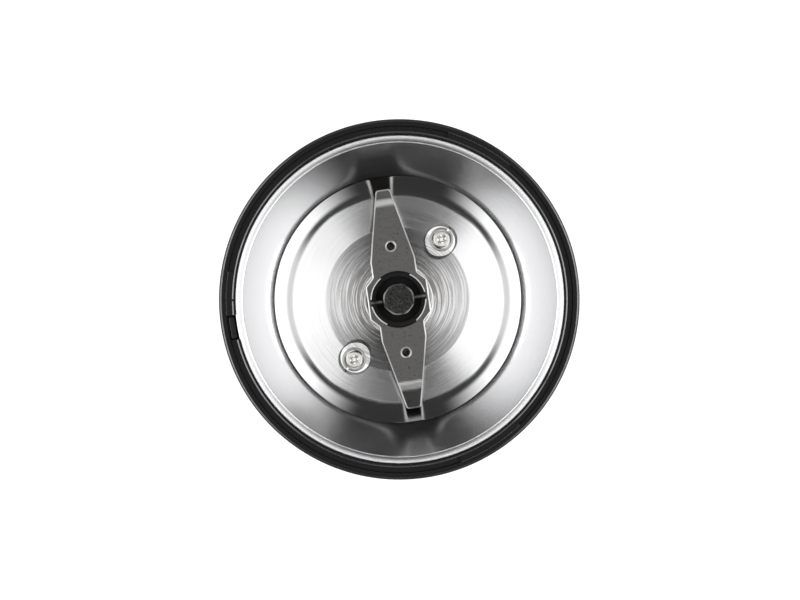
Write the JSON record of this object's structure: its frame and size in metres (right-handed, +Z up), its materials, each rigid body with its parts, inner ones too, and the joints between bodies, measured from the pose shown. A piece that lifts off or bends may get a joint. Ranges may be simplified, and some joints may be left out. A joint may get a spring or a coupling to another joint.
{
  "type": "electric coffee grinder",
  "caption": "Round blade coffee grinder with the lid off: black moulded body, drawn steel cup, winged steel blade on a motor shaft, start button and lid interlock.",
  "frame": {"origin": "centre of the footprint, on the surface that the feet stand on", "axes": "+Z up along the motor shaft; -Y is the front, with the start button and the slot for the lid's tongue; +Y is the rear, with the cord inlet"},
  "size_m": [0.092, 0.092, 0.12],
  "materials": {
    "shell_plastic": "black moulded plastic, glossy",
    "base_plastic": "black moulded plastic, fine grain",
    "button_plastic": "black moulded plastic, satin",
    "hub_plastic": "black glass-filled plastic, rough",
    "cup_steel": "drawn stainless sheet, spun in fine rings",
    "blade_steel": "stamped stainless sheet, satin",
    "screw_steel": "bright plated steel",
    "washer_steel": "plated spring steel",
    "shaft_steel": "ground steel",
    "spring_steel": "spring wire",
    "laminations": "stacked electrical sheet",
    "copper": "enamelled copper",
    "bearing_bronze": "sintered bronze",
    "bracket_zinc": "die casting, as cast",
    "phenolic": "moulded phenolic",
    "carbon": "pressed carbon",
    "switch_black": "black moulded plastic",
    "switch_cream": "cream moulded plastic",
    "suppressor_yellow": "yellow resin case",
    "rubber": "black rubber",
    "wire_brown": "brown insulation",
    "wire_black": "black insulation",
    "wire_blue": "blue insulation"
  },
  "bodies": {
    "housing": {"body_shell": "shell_plastic", "grinding_cup": "cup_steel", "cup_screws": "screw_steel", "cup_washers": "washer_steel", "cup_gaskets": "rubber", "shaft_seal": "rubber", "thrust_pad": "switch_cream", "stator_core": "laminations", "field_coils": "copper", "top_bracket": "bracket_zinc", "top_bearing": "bearing_bronze", "bottom_bracket": "phenolic", "bottom_bearing": "bearing_bronze", "motor_bolts": "screw_steel", "brush_holders": "bearing_bronze", "carbon_brushes": "carbon", "brush_springs": "spring_steel", "motor_mount": "rubber", "button_spring": "spring_steel", "start_switch": "switch_black", "switch_holder": "switch_black", "holder_screws": "screw_steel", "interlock_spring": "spring_steel", "interlock_switch": "switch_black", "terminal_block": "switch_cream", "suppressor": "suppressor_yellow", "supply_lead": "wire_brown", "link_lead": "wire_brown", "motor_lead": "wire_black", "return_lead": "wire_blue", "brush_leads": "wire_black", "cord_inlet": "base_plastic", "inlet_nut": "base_plastic", "base_cover": "base_plastic", "base_screws": "screw_steel", "rubber_feet": "rubber"},
    "rotor": {"blade": "blade_steel", "blade_hub": "hub_plastic", "motor_shaft": "shaft_steel", "thrust_washers": "bearing_bronze", "armature_core": "laminations", "armature_winding": "copper", "commutator_core": "phenolic", "commutator_bars": "copper"},
    "button": {"start_button": "button_plastic"},
    "start_plunger": {"start_switch_plunger": "switch_cream"},
    "lid_key": {"interlock_key": "button_plastic"},
    "lock_plunger": {"interlock_switch_plunger": "switch_cream"}
  },
  "joints": [
    {"name": "blade_spin", "type": "hinge", "parent": "housing", "child": "rotor", "pos_m": [0, 0, 0.0962], "axis": [0, 0, 1], "continuous": true},
    {"name": "start_press", "type": "slide", "parent": "housing", "child": "button", "axis": [0, 1, 0], "range_m": [0, 0.003], "stiffness_N_per_m": 400, "springref_m": -0.003, "deforming": ["button_spring"]},
    {"name": "start_plunger_press", "type": "slide", "parent": "housing", "child": "start_plunger", "axis": [0, 1, 0], "range_m": [0, 0.003]},
    {"name": "lid_key_press", "type": "slide", "parent": "housing", "child": "lid_key", "axis": [0, 0, -1], "range_m": [0, 0.0028], "stiffness_N_per_m": 300, "springref_m": -0.003, "deforming": ["interlock_spring"]},
    {"name": "lock_plunger_press", "type": "slide", "parent": "housing", "child": "lock_plunger", "axis": [0, 0, -1], "range_m": [0, 0.0028]}
  ],
  "couplings": [
    {"joint": "start_plunger_press", "follows": "start_press", "ratio": 1},
    {"joint": "lock_plunger_press", "follows": "lid_key_press", "ratio": 1}
  ]
}
